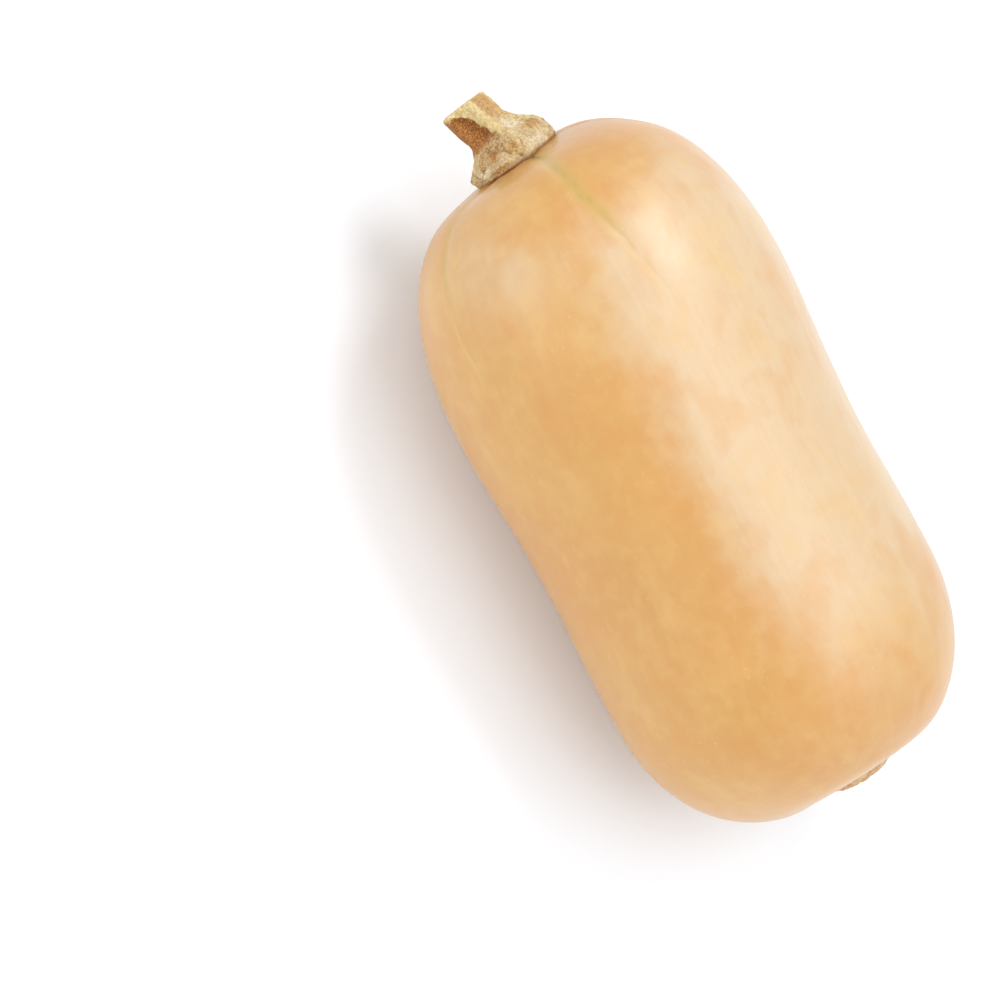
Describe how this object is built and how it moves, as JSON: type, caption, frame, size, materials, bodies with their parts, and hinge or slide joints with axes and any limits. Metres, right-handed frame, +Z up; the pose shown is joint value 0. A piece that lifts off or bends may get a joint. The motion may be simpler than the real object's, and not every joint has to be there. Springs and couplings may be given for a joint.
{
  "type": "butternut squash",
  "caption": "Whole ripe winter squash lying on its side: a thick neck, a slight waist and a rounded bulb, with a short corky stem and a flower scar.",
  "frame": {"origin": "under the middle of the whole squash, on the surface that it rests on", "axes": "+X along the fruit from the stem end to the flower scar, +Z up from the surface it rests on"},
  "size_m": [0.2236, 0.1086, 0.1042],
  "materials": {
    "skin": "satin, waxy, pale tan-orange with faint streaks",
    "stem_wood": "rough, dry and corky, speckled tan and brown",
    "scar_cork": "rough, dry, layered ochre cork"
  },
  "bodies": {
    "root": {"fruit": "skin", "stem": "stem_wood", "blossom_scar": "scar_cork"}
  },
  "joints": []
}
